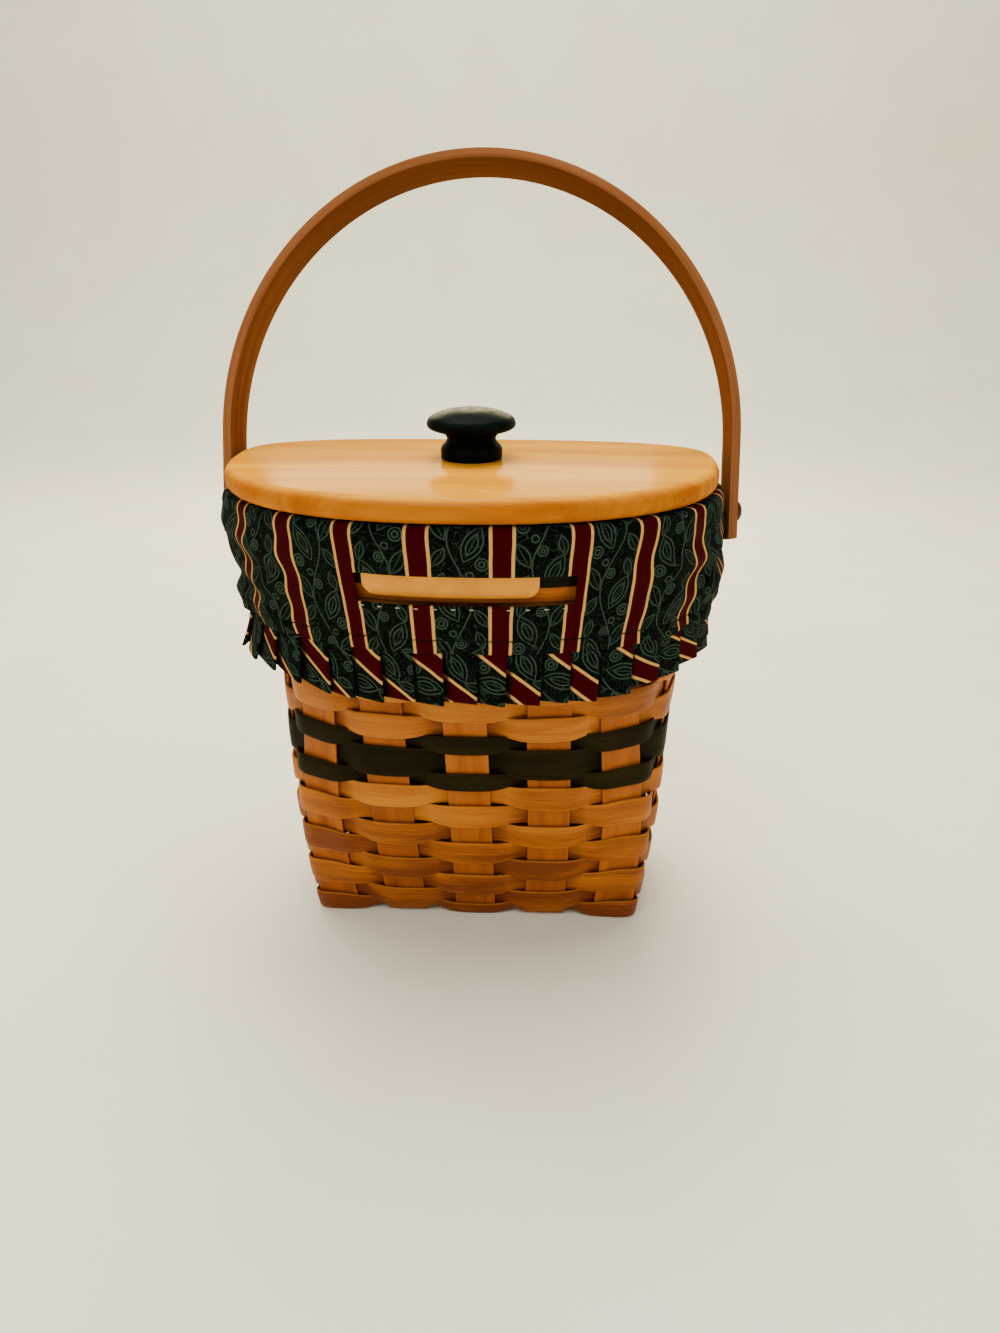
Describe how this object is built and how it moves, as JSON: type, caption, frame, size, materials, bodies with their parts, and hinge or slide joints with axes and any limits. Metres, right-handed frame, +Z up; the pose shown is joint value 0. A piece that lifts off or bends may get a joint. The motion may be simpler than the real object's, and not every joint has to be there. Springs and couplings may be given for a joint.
{
  "type": "lidded woven basket",
  "caption": "Tall woven splint basket with a bentwood swing handle, a loose wooden lid with a turned knob, and a striped cloth garter with a pleated ruffle round its rim.",
  "frame": {"origin": "middle of the woven floor's underside, on the surface that the basket stands on", "axes": "+Z up, the bowed front with the plate faces -Y, +X to the right as seen from the front"},
  "size_m": [0.2762, 0.1716, 0.3947],
  "materials": {
    "upright_splint": "warm stained splint, satin",
    "honey_weaver": "honey stained splint, satin",
    "green_weaver": "dark green stained splint, satin",
    "rim_wood": "honey stained band, satin",
    "handle_wood": "brown stained bentwood, satin",
    "lid_wood": "honey stained board, glossy lacquer",
    "knob_paint": "very dark green paint, satin",
    "rivet": "dark red-brown enamel",
    "hardware": "plain steel",
    "cloth": "dark green cotton with burgundy and cream stripes",
    "elastic": "plain woven elastic",
    "plate": "matte gold-tan, bare"
  },
  "bodies": {
    "basket": {"cross_splint_1": "upright_splint", "cross_splint_2": "upright_splint", "cross_splint_3": "upright_splint", "cross_splint_4": "upright_splint", "cross_splint_5": "upright_splint", "long_splint_1": "upright_splint", "long_splint_2": "upright_splint", "weaver_lower_1": "honey_weaver", "weaver_lower_2": "honey_weaver", "weaver_lower_3": "honey_weaver", "weaver_lower_4": "honey_weaver", "weaver_lower_5": "honey_weaver", "weaver_lower_6": "honey_weaver", "weaver_lower_7": "honey_weaver", "weaver_lower_8": "honey_weaver", "weaver_upper_1": "honey_weaver", "weaver_upper_2": "honey_weaver", "weaver_upper_3": "honey_weaver", "weaver_upper_4": "honey_weaver", "weaver_upper_5": "honey_weaver", "weaver_upper_6": "honey_weaver", "weaver_upper_7": "honey_weaver", "weaver_green_lower": "green_weaver", "weaver_green_wide": "green_weaver", "weaver_green_upper": "green_weaver", "rim_trim_strip": "green_weaver", "rim_outer_band": "rim_wood", "rim_inner_band": "rim_wood", "tag_plate": "plate", "handle_rivet_right": "rivet", "handle_rivet_left": "rivet", "handle_spacer_right": "handle_wood", "handle_spacer_left": "handle_wood", "rivet_washer_right": "hardware", "rivet_washer_left": "hardware", "garter_band": "cloth", "garter_ruffle": "cloth", "garter_elastic": "elastic"},
    "handle": {"handle": "handle_wood"},
    "lid": {"lid_board": "lid_wood", "lid_cleat_left": "lid_wood", "lid_cleat_right": "lid_wood", "knob": "knob_paint", "knob_screw": "hardware"}
  },
  "joints": [
    {"name": "handle_swing", "type": "hinge", "parent": "basket", "child": "handle", "pos_m": [0, 0.0125, 0.2207], "axis": [1, 0, 0], "range_deg": [-124, 159]},
    {"name": "lid_lift", "type": "slide", "parent": "basket", "child": "lid", "axis": [0, -0.7071, 0.7071], "range_m": [0, 0.22]}
  ]
}
